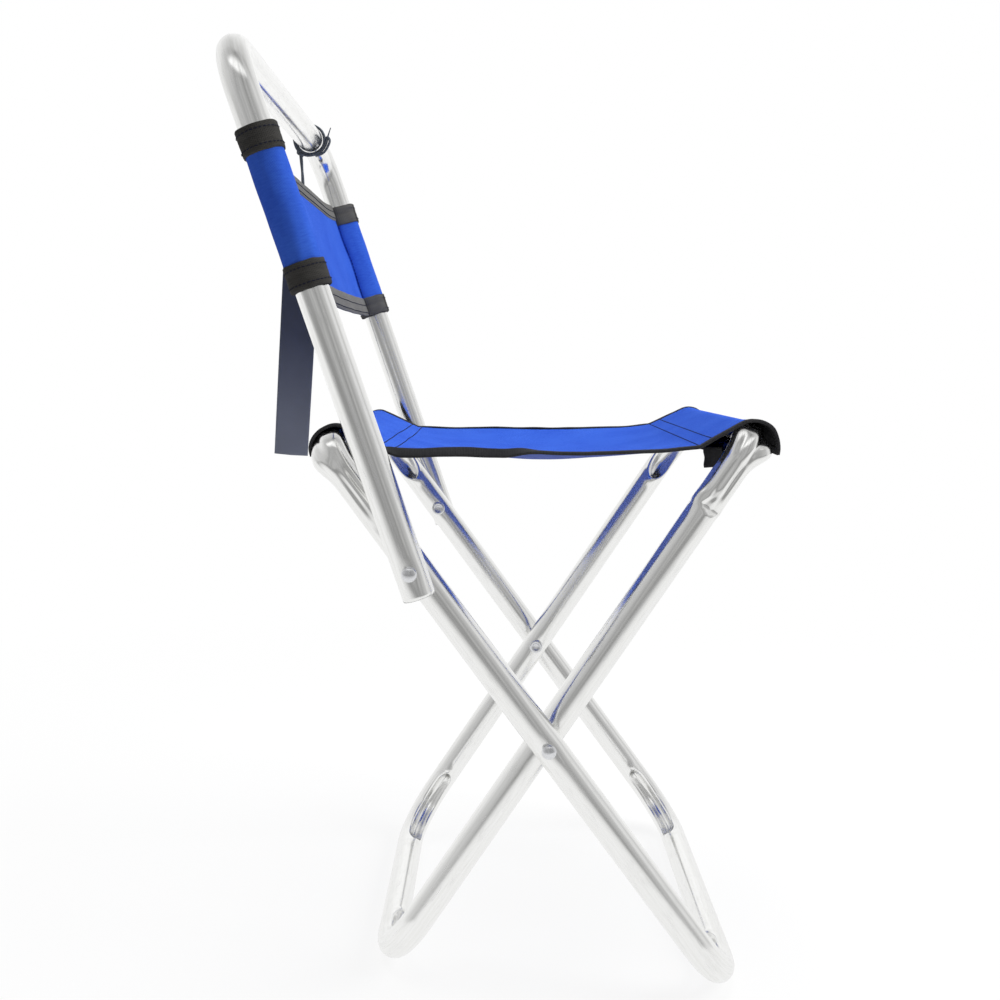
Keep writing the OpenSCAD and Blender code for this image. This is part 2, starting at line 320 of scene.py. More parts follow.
ALU = aluminium("polished_tube", 0.0014 * MM, 0.18)
RIVET = plain_metal("rivet_steel", srgb(222, 223, 225), 0.22)
WASHER = plain_metal("washer_steel", srgb(170, 172, 176), 0.35)
CLOTH = woven("blue_canvas", (24, 58, 168), (70, 116, 216), 0.62, 0.62, 0.05)
COATED = woven("coated_back", (68, 86, 160), (84, 102, 176), 0.62, 0.62, 0.01, rough=0.8)
TAPE = woven("black_binding", (27, 27, 29), (70, 70, 72), 0.5, 1.1, 0.1)
WEBBING = woven("grey_webbing", (78, 78, 78), (132, 131, 128), 1.3, 0.8, 0.14)
BAND = woven("charcoal_band", (36, 35, 34), (80, 79, 77), 1.1, 0.7, 0.14)
# a paler copy of the charcoal band's colour, for painted light on the bands' faces towards the
# panel
BAND_LIT_COPY = woven("band_painted_light", (58, 58, 58), (106, 105, 103), 1.3, 0.8, 0.14)
THREAD = woven("dark_thread", (12, 14, 28), (34, 38, 62), 0.25, 0.25, 0.03, rough=0.7)
CORD = woven("dark_cord", (60, 66, 74), (112, 118, 128), 0.45, 0.45, 0.08, rough=0.75, sheen=0.1)
CARD = card_paper("slate_card")


# -------- mesh helpers
def piece(name, verts, faces, material, run=None):
    """A new smooth mesh object. run gives each point its place along and across the material."""
    mesh = bpy.data.meshes.new(name)
    mesh.from_pydata([tuple(v) for v in verts], [], faces)
    if run is not None:
        layer = mesh.attributes.new("run", "FLOAT_VECTOR", "POINT")
        layer.data.foreach_set("vector", np.asarray(run, np.float32).ravel())
    mesh.materials.append(material)
    mesh.validate()
    shell = bmesh.new()
    shell.from_mesh(mesh)
    bmesh.ops.recalc_face_normals(shell, faces=shell.faces)
    shell.to_mesh(mesh)
    shell.free()
    mesh.shade_smooth()
    return in_scene(name, mesh)


class Batch:
    """Collects several grids into one mesh."""

    def __init__(self):
        self.verts, self.faces, self.run = [], [], []

    def grid(self, points, run, wrap_rows=False, wrap_cols=True, caps=False):
        """A sheet of rows and columns; with wrap_cols each row is a closed ring."""
        points = np.asarray(points)
        rows, cols = points.shape[:2]
        start = len(self.verts)
        self.verts += list(points.reshape(-1, 3))
        self.run += list(np.asarray(run, float).reshape(-1, 3))
        for i in range(rows if wrap_rows else rows - 1):
            here, above = start + i * cols, start + (i + 1) % rows * cols
            for j in range(cols if wrap_cols else cols - 1):
                m = (j + 1) % cols
                self.faces.append((here + j, here + m, above + m, above + j))
        if caps:
            last = start + (rows - 1) * cols
            self.faces.append(tuple(range(start, start + cols))[::-1])
            self.faces.append(tuple(range(last, last + cols)))

    def build(self, name, material):
        return piece(name, self.verts, self.faces, material, self.run)


def one_grid(name, material, points, run, **closed):
    """A piece made of a single grid."""
    batch = Batch()
    batch.grid(points, run, **closed)
    return batch.build(name, material)


def on_body(obj, body, slot, *nodes):
    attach(obj, body)
    if nodes:
        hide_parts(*nodes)
    return obj


def smooth_path(points, step):
    """Catmull-Rom through the points, resampled at about step."""
    p = np.asarray(points, float)
    ext = np.vstack([2 * p[0] - p[1], p, 2 * p[-1] - p[-2]])
    fine = []
    for i in range(len(p) - 1):
        a, b, c, d = ext[i:i + 4]
        for t in np.linspace(0, 1, 24, endpoint=False):
            fine.append(0.5 * (2 * b + (c - a) * t + (2 * a - 5 * b + 4 * c - d) * t * t
                               + (3 * b - a - 3 * c + d) * t ** 3))
    fine = np.array(fine + [p[-1]])
    length = lengths_along(fine)
    count = max(3, int(round(length[-1] / step)) + 1)
    s = np.linspace(0, length[-1], count)
    return at_length(fine, length, s), s


def rope(batch, points, radius, around=10, lobes=0, lobe=0.0, taper=0.0, twist=0.0):
    """A round cord along the points, or one with lobes that twist by so many radians a metre.
    taper is how much of its radius the last part loses. Returns its centre line."""
    step = 1.2 * MM
    p, s = smooth_path(points, step)
    phi = ring_angles(around)
    t = tangents(p)
    u = np.cross(t[0], [0.3, 0.5, 0.8])  # any direction off the cord, then carried without twist
    rings, run = [], []
    for k in range(len(p)):
        u = unit(u - t[k] * np.dot(u, t[k]))
        v = np.cross(t[k], u)
        r = radius * (1 + lobe * np.cos(lobes * (phi - twist * s[k])))
        if taper:
            r = r * (1 - taper * ease(s[-1] * 0.6, s[-1], s[k]))
        rings.append(p[k] + r[:, None] * (np.cos(phi)[:, None] * u + np.sin(phi)[:, None] * v))
        run.append(np.stack([np.full(around, s[k]), phi * radius, np.zeros(around)], axis=1))
    batch.grid(rings, run, caps=True)
    return p


def stitches(batch, points, normals, pitch=3.1 * MM):
    """A row of sewn stitches lying on the cloth along the points."""
    length, radius, lift, look = 2.4 * MM, 0.36 * MM, 0.1 * MM, 0.2 * MM
    stations = (0.0, 0.15, 0.5, 0.85, 1.0)
    p, n = np.asarray(points, float), np.asarray(normals, float)
    s = lengths_along(p)
    phi = ring_angles(6)
    run = np.zeros((len(stations), len(phi), 3))
    run[..., 0] = np.linspace(0, length, len(stations))[:, None]
    run[..., 1] = phi * radius
    for start in np.arange(0, s[-1] - length, pitch):
        rings = []
        for f in stations:
            at = start + f * length
            m = unit(at_length(n, s, at))
            ahead = at_length(p, s, at + look) - at_length(p, s, at - look)
            side = unit(np.cross(ahead, m))
            r = radius * (0.45 + 0.55 * math.sin(math.pi * f))
            high = at_length(p, s, at) + m * (lift + radius * 0.9 * (math.sin(math.pi * f) - 0.6))
            rings.append(high + r * (np.cos(phi)[:, None] * side + np.sin(phi)[:, None] * m))
        batch.grid(rings, run, caps=True)


# -------- the tag, its cord and its knot
CORD_D = 2.6 * MM
CORD_WRAP = {"lobes": 2, "twist": 150}  # two strands laid round each other
TIE = TOP_BAR + EX * 126 * MM
ROUTE = TIE + MM * np.array([[0, 8.5, -12.3], [1.2, 7.8, -21], [3.5, 7.2, -36], [6.5, 7.6, -52],
                             [10, 8.8, -70], [13.5, 10.2, -88], [17, 11.6, -106]])


def make_cord():
    batch = Batch()
    path = rope(batch, ROUTE, CORD_D / 2, around=16, lobe=0.12, **CORD_WRAP)
    cord = on_body(batch.build("cord_to_tag", CORD), "back", "cord", "tag_cord")


def make_card():
    """The card as one closed sheet: rings lead from its hole out to its edge and back behind."""
    lo, hi = corner("hang_tag")
    thick = hi[0] - lo[0]
    width, length, edge = 32 * MM, 185 * MM, 8 * MM  # edge is the hole's distance from the top
    hole_r, cut_corner = 2.5 * MM, 0.45 * MM
    tilt = math.radians(3.1)
    down = np.array([0, math.sin(tilt), -math.cos(tilt)])
    wide = np.array([0, math.cos(tilt), math.sin(tilt)])
    phi = ring_angles(72)
    rays = np.stack([np.cos(phi), np.sin(phi)], axis=1)
    to_side = width / 2 / np.maximum(np.abs(rays[:, 0]), 1e-9)
    to_end = np.where(rays[:, 1] > 0, length - edge, edge) / np.maximum(np.abs(rays[:, 1]), 1e-9)
    outline = rays * np.minimum(to_side, to_end)[:, None]
    for w in (-width / 2, width / 2):
        for d in (-edge, length - edge):
            k = int(np.argmin(wrapped(phi - math.atan2(d, w))))
            outline[k] = w - math.copysign(cut_corner, w), d - math.copysign(cut_corner, d)
    steps = (0.0, 0.03, 0.12, 0.3, 0.5, 0.7, 0.85, 0.985, 1.0)
    rings = []
    for side, order in ((1, steps), (-1, steps[::-1])):
        for f in order:
            flat = rays * hole_r * (1 - f) + outline * f
            bow = 0.8 * MM * np.sin(np.pi * np.clip(flat[:, 1] / length, 0, 1))
            rim = 0.55 if f in (0.0, 1.0) else 1.0
            lift = bow + side * rim * thick / 2
            rings.append(ROUTE[-1] + flat[:, :1] * wide + flat[:, 1:] * down + EX * lift[:, None])
    rings = np.array(rings)
    card = one_grid("slate_tag_card", CARD, rings, (rings - ROUTE[-1])[..., [1, 2, 0]],
                    wrap_rows=True)
    on_body(card, "back", "tag_card", "hang_tag")


def make_tie():
    """The turn of cord round the top bar, and the knot with its bow and two loose ends."""
    r = TUBE_R + 0.3 * MM + CORD_D / 2
    thin = CORD_D / 2 * 0.85
    knot = unit(ROUTE[0] - TIE)
    side, c = np.cross(knot, EX), TIE + knot * (r + CORD_D * 0.85)

    def strand(*places):
        """Points round the bar, from (mm along it, degrees round it, mm off it); 90 is up."""
        points = []
        for x, degrees, lift in places:
            a = math.radians(degrees)
            reach = r + lift * MM
            points.append(TIE + np.array([x * MM, reach * math.cos(a), reach * math.sin(a)]))
        return points

    batch = Batch()
    round_bar = [(1.1 * math.sin(math.radians(a)), a, 0) for a in range(-56, 305, 12)]
    rope(batch, strand(*round_bar), CORD_D / 2 * 0.92, around=12, lobe=0.1, **CORD_WRAP)
    on_body(batch.build("cord_round_bar", CORD), "back", "cord", "tag_cord_loop")
    batch = Batch()
    ball = []
    for a in np.linspace(0, 2 * np.pi, 40):  # trefoil
        ball.append(c + 1.35 * MM * ((math.sin(a) + 2 * math.sin(2 * a)) * EX * 0.6
                                     + (math.cos(a) - 2 * math.cos(2 * a)) * side * 0.75
                                     - math.sin(3 * a) * knot * 0.9))
    rope(batch, ball, thin)
    rear_end = strand((-2, -30, 1.5), (-3, 5, 1.2), (-3.5, 38, 0.8), (-4, 52, 2.2))
    rope(batch, [c] + rear_end, thin, taper=0.5)
    front_end = strand((-2, -85, 1.6), (-3, -125, 1.8), (-4, -160, 2.6), (-4, -192, 4.5),
                       (-3, -208, 8.5))
    rope(batch, [c] + front_end, thin, taper=0.6)
    bow = strand((-2, -110, 2.6), (-4, -140, 4.6), (-5, -172, 5.6), (-4, -186, 3.6),
                 (-3, -178, 1.4), (-2, -150, 1.2))
    rope(batch, bow, thin)
    on_body(batch.build("cord_knot_and_ends", CORD), "back", "cord", "tag_cord_knot")


make_cord()
make_card()
make_tie()


# -------- bent tubes
def rounded_path(corners, radii, closed, step):
    """Flat path with rounded corners, each with its own radius. Gives points, forward
    directions, distances, each bend's middle, and the whole length."""
    c = [np.array(x, float) for x in corners]
    n = len(c)
    points, ahead, dist, mids = [], [], [], []
    length = 0.0
    if closed:
        start = end = (c[0] + c[-1]) / 2
        bends = [(c[i - 1], c[i], c[(i + 1) % n], radii[i]) for i in range(n)]
    else:
        start, end = c[0], c[-1]
        bends = [(c[i - 1], c[i], c[i + 1], radii[i]) for i in range(1, n - 1)]

    def straight(a, b):
        nonlocal length
        d = np.linalg.norm(b - a)
        k = max(1, int(round(d / step)))
        for i in range(k):
            points.append(a + (b - a) * i / k)
            ahead.append((b - a) / d)
            dist.append(length + d * i / k)
        length += d

    at = start
    for prev, mid, nxt, radius in bends:
        into, out = unit(mid - prev), unit(nxt - mid)
        turn = math.acos(np.clip(np.dot(into, out), -1, 1))
        cut = radius * math.tan(turn / 2)
        straight(at, mid - into * cut)
        left = np.array([-into[1], into[0]])
        centre = mid - into * cut + left * radius
        k = max(2, int(round(radius * turn / (step * 0.7))))
        for a in turn * np.arange(k) / k:
            points.append(centre + radius * (into * math.sin(a) - left * math.cos(a)))
            ahead.append(into * math.cos(a) + left * math.sin(a))
            dist.append(length + radius * a)
        mids.append(length + radius * turn / 2)
        length += radius * turn
        at = mid + out * cut
    straight(at, end)
    if not closed:
        points.append(end)
        ahead.append(unit(end - c[-2]))
        dist.append(length)
    return np.array(points), np.array(ahead), np.array(dist), mids, length


FAR_GROOVE, GROOVE = 54, 36  # half angles, at the far top bend and at the others


def section(s, total, grooves=(), dents=(), flats=()):
    """Offsets (inward, sideways) of the tube's surface from its centre line, for every ring.
    A groove is the pressed-in inside of a bend: (middle, half length, half angle).
    A flat is (begin, end, angle, depth, height of the ridge along it).
    A dent is (middle, angle, length, width, depth); a depth below 0 is a bulge.
    Angles are in degrees round the tube, from its inside, and lengths in metres along it."""
    phi = RING[None, :]
    inward = TUBE_R * np.cos(phi) * np.ones((len(s), 1))
    sideways = TUBE_R * np.sin(phi) * np.ones((len(s), 1))

    def away(middle):
        d = np.abs(s - middle)
        return (np.minimum(d, total - d) if total else d)[:, None]

    for middle, half, angle in grooves:
        d = away(middle)
        tip = 1.7 * TUBE_R * math.radians(angle)  # the length of its round end
        share = np.sqrt(np.clip(1 - ((d - half + tip) / tip).clip(0, 1) ** 2, 0, 1))
        q = wrapped(phi) / (math.radians(angle) * np.maximum(share, 0.02))
        deep = GROOVE_DEEP * (angle / FAR_GROOVE) * share ** 1.8
        inside = 0.5 + 0.5 * np.cos(np.pi * np.minimum(q, 1))
        inward = inward + np.where(q < 1, -deep * inside ** 0.7, 0)
        rim = 0.05 * ease(0.0, 0.4, share) * np.exp(-((q - 1.08) / 0.15) ** 2)
        lip = 0.09 * np.exp(-((d - half - 3 * MM) / (4 * MM)) ** 2 - (wrapped(phi) / 0.6) ** 2)
        inward = inward * (1 + rim) + lip * TUBE_R
        sideways = sideways * (1 + rim)
    for begin, end, angle, depth, ridge in flats:
        # pressed flat beside a lengthwise ridge, ending in a slanted facet like a chisel cut
        cos, sin = math.cos(math.radians(angle)), math.sin(math.radians(angle))
        toward, across = inward * cos + sideways * sin, sideways * cos - inward * sin
        press_in, facet = 14 * MM, 4 * MM
        share = ease(begin, begin + press_in, s) * np.clip((end + facet - s) / facet, 0, 1)
        fade = share[:, None]
        within = fade * (s < end)[:, None]
        limit = TUBE_R - depth * fade
        crest = ridge * within * np.exp(-(across / (2.6 * MM)) ** 2)
        hollow = 0.5 * MM * within * (1 - np.abs(across) / TUBE_R)
        toward = np.where(toward > limit, limit + crest - hollow, toward)
        across = across * (1 + 0.04 * fade)
        inward, sideways = toward * cos - across * sin, toward * sin + across * cos
    for middle, angle, along, wide, depth in dents:
        a = wrapped(phi - math.radians(angle))
        push = depth * np.exp(-(away(middle) / along) ** 2 - (a / math.radians(wide)) ** 2)
        inward = inward - push * np.cos(phi)
        sideways = sideways - push * np.sin(phi)
    return inward, sideways


def tube_rings(origin, up, points, ahead, inward, sideways):
    """Rings in space. The path's first axis is X and its second is up."""
    out = np.cross(EX, up)
    centre = origin + points[:, :1] * EX + points[:, 1:] * up
    left = ahead[:, :1] * up - ahead[:, 1:] * EX
    return centre[:, None, :] + inward[..., None] * left[:, None, :] + sideways[..., None] * out


def tube_run(s):
    run = np.zeros((len(s), TUBE_SIDES, 3))
    run[..., 0] = s[:, None]
    run[..., 1] = TUBE_R * np.cos(RING)
    run[..., 2] = TUBE_R * np.sin(RING)
    return run


def pinches(places):
    """The tube is drawn flat where a rivet holds it, on both its inner and outer side."""
    return [(s, a, 8 * MM, 34, 0.7 * MM) for s in places for a in (0, 180)]


FAR_TOP, NEAR_TOP = 1, 2  # the loop's bends, counted from the +X end of its foot bar
# The near top bend's dents: (mm past its middle, angle, mm long, degrees wide, mm deep)
FRONT_MARKS = [(0, 180, 10, 70, -2.6), (-3, 238, 7, 24, -3.2), (1, 114, 8, 24, -6.4),
               (-2, 150, 6, 12, 3.0), (5, 208, 6, 10, 1.6), (28, 194, 20, 6, 1.3),
               (24, 158, 22, 9, 2.0), (30, 124, 16, 8, 0.9), (42, 182, 4, 14, 2.0),
               (48, 240, 8, 22, -2.0)]
REAR_MARKS = [(0, 180, 10, 70, -2.4), (-2, 128, 8, 24, -2.4), (4, 246, 9, 26, -3.0),
              (-1, 196, 6, 14, 1.8), (9, 176, 5, 16, 1.4), (24, 160, 16, 9, 1.1),
              (32, 192, 20, 8, 1.0), (22, 222, 14, 10, 1.0), (58, 200, 6, 20, 1.0),
              (100, 190, 5, 18, 0.6)]
FRONT_FLAT = (38, 51, 166, 3.4, 0.9)  # mm past the bend, its angle, mm deep, mm of ridge


def leg_loop(name, node, body, low, high, half, rivets, marks, flats):
    """A closed leg frame, starting at the middle of its foot bar and climbing the +X leg.
    The photograph's near leg is the -X one. rivets are heights up the legs."""
    rise = float(np.linalg.norm(high - low))
    corners = [(half, 0), (half, rise), (-half, rise), (-half, 0)]
    radii = [LEG_BEND] * 4
    radii[NEAR_TOP] = CRUSHED_BEND
    points, ahead, s, mids, total = rounded_path(corners, radii, True, 1.4 * MM)
    grooves = [(m, 51 * MM, FAR_GROOVE if k == FAR_TOP else GROOVE) for k, m in enumerate(mids)]
    # drawn straight on to the foot bar's height, a leg would end this far past its bend's middle
    past = LEG_BEND - LEG_BEND * math.pi / 4
    climb, down = mids[0] - past, mids[3] + past
    dents = pinches([place for h in rivets for place in (climb + h, down - h)])
    near = mids[NEAR_TOP]
    dents += [(near + at * MM, angle, along * MM, wide, deep * MM)
              for at, angle, along, wide, deep in marks]
    flats = [(near + a * MM, near + b * MM, angle, deep * MM, ridge * MM)
             for a, b, angle, deep, ridge in flats]
    inward, sideways = section(s, total, grooves, dents, flats)
    rings = tube_rings(low, unit(high - low), points, ahead, inward, sideways)
    tube = one_grid(name, ALU, rings, tube_run(s), wrap_rows=True)
    on_body(tube, body, "frame_tube", node)


def up_leg(place, foot):
    return float(np.linalg.norm(place - foot))


leg_loop("inner_legs_tube", "inner_leg_frame", "inner_legs", REAR_FOOT, FRONT_BAR, INNER_X,
         [up_leg(CROSSING, REAR_FOOT)], FRONT_MARKS, [FRONT_FLAT])
leg_loop("outer_legs_tube", "outer_leg_frame", "outer_legs", FRONT_FOOT, REAR_BAR, OUTER_X,
         [up_leg(CROSSING, FRONT_FOOT), up_leg(PIVOT, FRONT_FOOT)], REAR_MARKS, [])


def back_tube():
    """The U-shaped back, with its two tube ends cut off square and left open."""
    tail = (PIVOT[2] - BACK_LO[2] - TUBE_R * BACK_UP[1]) / BACK_UP[2]
    rise = up_leg(TOP_BAR, PIVOT)
    corners = [(BACK_X, -tail), (BACK_X, rise), (-BACK_X, rise), (-BACK_X, -tail)]
    points, ahead, s, _, total = rounded_path(corners, [BACK_BEND] * 4, False, 2.4 * MM)
    inward, sideways = section(s, 0, dents=pinches([tail, total - tail]))
    rings = tube_rings(PIVOT, BACK_UP, points, ahead, inward, sideways)
    run = tube_run(s)
    bore, deep = 0.88, 45 * MM  # the bore as a share of the tube, and how far up it's modelled
    mouth = ((0.985, 0.0), (bore + 0.01, 0.0), (bore, 0.4 * MM), (bore, deep * 0.5),
             (bore, deep), (0.02, deep))

    def open_end(at, sign):
        """Rings over the cut edge and up inside the tube."""
        ring, along = rings[at], sign * (ahead[at][0] * EX + ahead[at][1] * BACK_UP)
        centre = ring.mean(axis=0)
        return (np.array([centre + (ring - centre) * scale + along * depth
                          for scale, depth in mouth]),
                np.repeat(run[at][None], len(mouth), axis=0))

    first, first_run = open_end(0, 1)
    last, last_run = open_end(-1, -1)
    tube = one_grid("back_tube", ALU, np.concatenate([first[::-1], rings, last]),
                    np.concatenate([first_run, run, last_run]), caps=True)
    on_body(tube, "back", "frame_tube", "back_frame")


back_tube()


# -------- rivets and washers
def rivet(node):
    """A ball-like head outside, a shank through both tubes, and a rolled ring inside."""
    lo, hi = corner(node)
    sign = -1 if hi[0] < 0 else 1
    outer = lo[0] if sign < 0 else hi[0]
    c = (lo + hi) / 2
    span = hi[0] - lo[0]
    head_r, head_h, shank_r = 5.15 * MM, 4.2 * MM, 3 * MM
    ring_r, ring_h = (hi[2] - lo[2]) / 2, 1.5 * MM
    point = 0.0001 * MM
    # (radius, depth from the head's top)
    profile = [(point, 0.0)]
    for a in np.radians(np.linspace(6, 104, 14)):
        profile.append((head_r * math.sin(a), head_h * 0.78 * (1 - math.cos(a))))
    profile += [(head_r * 0.9, head_h), (shank_r, head_h + 0.05 * MM),
                (shank_r, span - ring_h - 0.05 * MM), (ring_r * 0.93, span - ring_h)]
    for a in np.radians(np.linspace(-20, 200, 13)):
        profile.append(((ring_r + shank_r) / 2 + (ring_r - shank_r) / 2 * math.cos(a),
                        span - ring_h * 0.55 + ring_h * 0.55 * math.sin(a)))
    hollow = span + 0.9 * MM - ring_h * 1.6
    profile += [(2.4 * MM, span + 0.2 * MM - ring_h), (1.4 * MM, hollow), (point, hollow)]
    phi = ring_angles(40)
    rings = np.array([np.stack([np.full(40, outer - sign * d), c[1] + r * np.cos(phi),
                                c[2] + r * np.sin(phi)], axis=1) for r, d in profile])
    turned = one_grid(node + "_turned", RIVET, rings, np.zeros_like(rings), caps=True)
    on_body(turned, "outer_legs", "rivet", node)


for place in ("crossing", "back"):
    for side, _ in SIDES:
        rivet(f"{place}_rivet_{side}")
        washer = frame["nodes"][f"{place}_washer_{side}"]
        washer.material_slots[0].link = "OBJECT"
        washer.material_slots[0].material = WASHER


# -------- the seat
FRONT_SEAM = 35 * MM  # behind the front bar
REAR_SEAM = 38 * MM  # ahead of the rear bar
SEAM_Y = (FRONT_BAR[1] + FRONT_SEAM, REAR_BAR[1] - REAR_SEAM)
# Heights of the seat's edges along y, in mm: the photograph's near edge is at -X
EDGE_Y = [-137, -123, -110, -96, -68, -41, -28, 0, 26, 53, 76]
EDGE_NEAR = [393.2, 391.2, 389.8, 389.1, 388.0, 387.1, 387.4, 388.9, 389.6, 388.3, 388.0]
EDGE_FAR = [394.6, 392.6, 391.4, 391.0, 389.7, 388.8, 388.3, 387.6, 386.6, 386.2, 387.2]
SAG = 12 * MM
SEAT_TAPE = 7 * MM
HALF_FRONT = corner("seat_front_sleeve_tapes")[1][0]
HALF_REAR = corner("seat_rear_sleeve_tapes")[1][0]


def seat_half(y):
    """Half width of the whole seat, its edge tape included."""
    return np.interp(y, [FRONT_BAR[1], REAR_BAR[1]], [HALF_FRONT, HALF_REAR])


def soft_curve(y, ys, zs):
    """Smooth height through the table's points."""
    ys, zs = np.array(ys) * MM, np.array(zs) * MM
    slopes = np.gradient(zs, ys)
    k = int(np.clip(np.searchsorted(ys, y) - 1, 0, len(ys) - 2))
    h = ys[k + 1] - ys[k]
    t = np.clip((y - ys[k]) / h, 0, 1)
    return ((2 * t ** 3 - 3 * t ** 2 + 1) * zs[k] + (t ** 3 - 2 * t ** 2 + t) * h * slopes[k]
            + (-2 * t ** 3 + 3 * t ** 2) * zs[k + 1] + (t ** 3 - t ** 2) * h * slopes[k + 1])


def seat_height(x, y):
    """Height of the seat cloth between its two seams."""
    f = np.clip(x / seat_half(y), -1, 1)
    near, far = soft_curve(y, EDGE_Y, EDGE_NEAR), soft_curve(y, EDGE_Y, EDGE_FAR)
    edge = near + (far - near) * (f + 1) / 2
    t = np.clip((y - SEAM_Y[0]) / (SEAM_Y[1] - SEAM_Y[0]), 0, 1)
    hollow = math.sin(math.pi * t) ** 0.7 * (1 - abs(f) ** 2.4)
    # slack creases run from the rear near corner towards the middle
    a = (x + 0.75 * y) / (26 * MM) + 1.6 * wander(x * 14, y * 14, 3.1)
    crease = 0.55 * MM * math.sin(a) * ease(0.15, 0.6, t) * (1 - abs(f) ** 4) * (0.6 - 0.4 * f)
    ripple = 1.3 * MM * wander(x * 22, y * 13, 7.7) * math.sin(math.pi * t) ** 0.5
    return edge - SAG * hollow + crease + ripple


# How far the pocket's ends stand off the bar, in mm, by the angle round it
HOOD_ANGLE = [40, 60, 82, 101, 129, 149, 170, 186, 210]
HOOD_FRONT = [2.0, 0.9, 1.0, 1.4, 2.9, 4.4, 5.1, 6.2, 8.4]
HOOD_REAR = [5.6, 5.0, 3.2, 1.4, 0.2, -0.2, -0.3, -0.2, 0.0]
POCKET_STATIONS = 52
FLAT_STEPS, ROUND_STEPS = 16, 90
FREE_ANGLE = 206  # the pocket's ends stop here, and the tube leaves below
LAYERS_APART = 2.2 * MM  # where the two layers meet at the seam
DARK_INSIDE_FROM = 0.74  # the share of the half width from which the pockets' insides take the binding's black: painted shade in the hollow round the bar


def pocket(f, front):
    """The stations (y, z) round one bar, from the lower layer's end over the bar to the top seam.
    Towards each end the lower layer is cut away, so that the bent tube can leave downwards."""
    bar = FRONT_BAR if front else REAR_BAR
    sign = 1 if front else -1  # the seat lies on this side of the bar
    seam = SEAM_Y[0 if front else 1]
    top = np.array([seam, seat_height(f * seat_half(seam), seam)])
    low = top - np.array([0, LAYERS_APART])
    r = TUBE_R + 0.35 * MM + CLOTH_T
    c = bar[1:]
    near_end = float(ease(0.66, 1.0, -f))
    far_end = float(ease(0.7, 1.0, f))
    slack = (near_end + 0.35 * far_end) * MM
    hood = HOOD_FRONT if front else HOOD_REAR

    def polar(angle):
        a = math.radians(angle)
        out = r + 0.3 * MM + slack * np.interp(angle, HOOD_ANGLE, hood)
        return c + out * np.array([sign * math.cos(a), math.sin(a)])

    def angle_to(point, side):
        """The angle where a line from the point touches the bar's circle."""
        to = point - c
        touch = math.acos(r / np.linalg.norm(to))
        return math.degrees(math.atan2(to[1], sign * to[0]) + side * touch)

    leave = angle_to(top, 1)
    if not front:
        leave -= 8 * near_end
    arrive = 360 + angle_to(low, -1)
    round_bar = np.linspace(leave, arrive, ROUND_STEPS)
    path = [top + (polar(leave) - top) * k / FLAT_STEPS for k in range(FLAT_STEPS)]
    path += [polar(a) for a in round_bar]
    path += [polar(arrive) + (low - polar(arrive)) * k / FLAT_STEPS
             for k in range(1, FLAT_STEPS + 1)]
    path.append(low + np.array([sign * 4 * MM, -0.3 * MM]))
    path = np.array(path)
    s = lengths_along(path)
    free = np.interp(FREE_ANGLE, round_bar, s[FLAT_STEPS:FLAT_STEPS + ROUND_STEPS])
    keep = s[-1] + (free - s[-1]) * float(ease(0.64, 0.8, abs(f)))
    return at_length(path, s, np.linspace(keep, 0, POCKET_STATIONS))


def seat_profile(f):
    """Every station (y, z) of the seat cloth at one share f of its half width."""
    middle = [(y, seat_height(f * seat_half(y), y)) for y in np.linspace(*SEAM_Y, 56)[1:-1]]
    return np.concatenate([pocket(f, True), middle, pocket(f, False)[::-1]])


def seat_point(f, yz, inset=0.0):
    """A point of the seat at share f of its half width, less the inset."""
    return np.array([f * (seat_half(yz[0]) - inset), yz[0], yz[1]])


def thicken(obj):
    """Give a sheet the cloth's thickness, half of it on each side."""
    solid = obj.modifiers.new("thickness", "SOLIDIFY")
    solid.thickness = CLOTH_T
    solid.offset = 0
    solid.use_even_offset = True
    depsgraph = bpy.context.evaluated_depsgraph_get()
    done = bpy.data.meshes.new_from_object(obj.evaluated_get(depsgraph))
    obj.modifiers.clear()
    obj.data = done
    return obj


def seat_cloth():
    """The whole seat as one sheet. Gives it with its flat width, length and area."""
    shares = np.concatenate([np.linspace(-1, -0.6, 21), np.linspace(-0.6, 0.6, 33)[1:-1],
                             np.linspace(0.6, 1, 21)])
    columns = [[seat_point(f, yz, SEAT_TAPE * 0.45) for yz in seat_profile(f)] for f in shares]
    grid = np.transpose(columns, (1, 0, 2))
    along = lengths_along(grid[:, len(shares) // 2])  # down the middle of the seat
    run = np.zeros(grid.shape)
    run[..., 0] = grid[..., 0]
    run[..., 1] = along[:, None]
    obj = thicken(one_grid("seat_cloth", CLOTH, grid, run, wrap_cols=False))
    # the binding's black, also used inside the pockets' ends as painted shade
    obj.data.materials.append(TAPE)
    obj.data.materials.append(COATED)
    for face in obj.data.polygons:
        c = np.array(face.center)
        bar = FRONT_BAR if c[1] < 0 else REAR_BAR
        away = (c - bar) * np.array([0, 1, 1])
        inside = np.linalg.norm(away) < FRONT_SEAM and np.dot(away, np.array(face.normal)) < 0
        if inside and abs(c[0]) > DARK_INSIDE_FROM * seat_half(c[1]):
            face.material_index = 1  # the binding's black inside the pockets' ends: painted shade in the hollow round the bar
        elif SEAM_Y[0] < c[1] < SEAM_Y[1] and face.normal.z < 0:
            face.material_index = 2  # the duller coated back of the cloth
    cells = np.cross(grid[1:, :-1] - grid[:-1, :-1], grid[:-1, 1:] - grid[:-1, :-1])
    area = np.linalg.norm(cells, axis=2).sum()
    return obj, float(np.ptp(grid[..., 0])), float(along[-1]), float(area)


